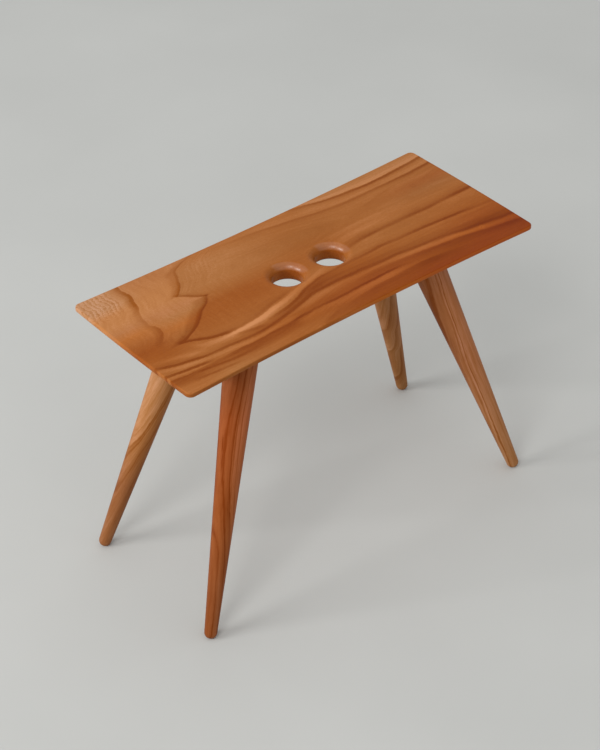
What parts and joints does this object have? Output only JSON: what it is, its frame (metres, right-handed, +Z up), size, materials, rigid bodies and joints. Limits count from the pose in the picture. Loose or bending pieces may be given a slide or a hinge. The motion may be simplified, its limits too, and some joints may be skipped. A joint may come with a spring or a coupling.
{
  "type": "kneeling bench",
  "caption": "Low hardwood kneeling bench: a thin waisted seat with round-edged finger holes, carried on splayed, tapered round legs.",
  "frame": {"origin": "on the floor, midway between the four feet and under the middle of the seat", "axes": "+X along the seat's length, +Y across it, +Z up; front is -Y and left is -X"},
  "size_m": [0.4624, 0.2064, 0.329],
  "materials": {
    "seat_wood": "figured red-brown hardwood, hand-rubbed satin oil",
    "leg_wood": "straight-grained red-brown hardwood, satin oil",
    "wedge_wood": "bare split hardwood, hidden in the joint"
  },
  "bodies": {
    "root": {"seat": "seat_wood", "leg_front_left": "leg_wood", "leg_front_right": "leg_wood", "leg_back_left": "leg_wood", "leg_back_right": "leg_wood", "wedge_front_left": "wedge_wood", "wedge_front_right": "wedge_wood", "wedge_back_left": "wedge_wood", "wedge_back_right": "wedge_wood"}
  },
  "joints": []
}
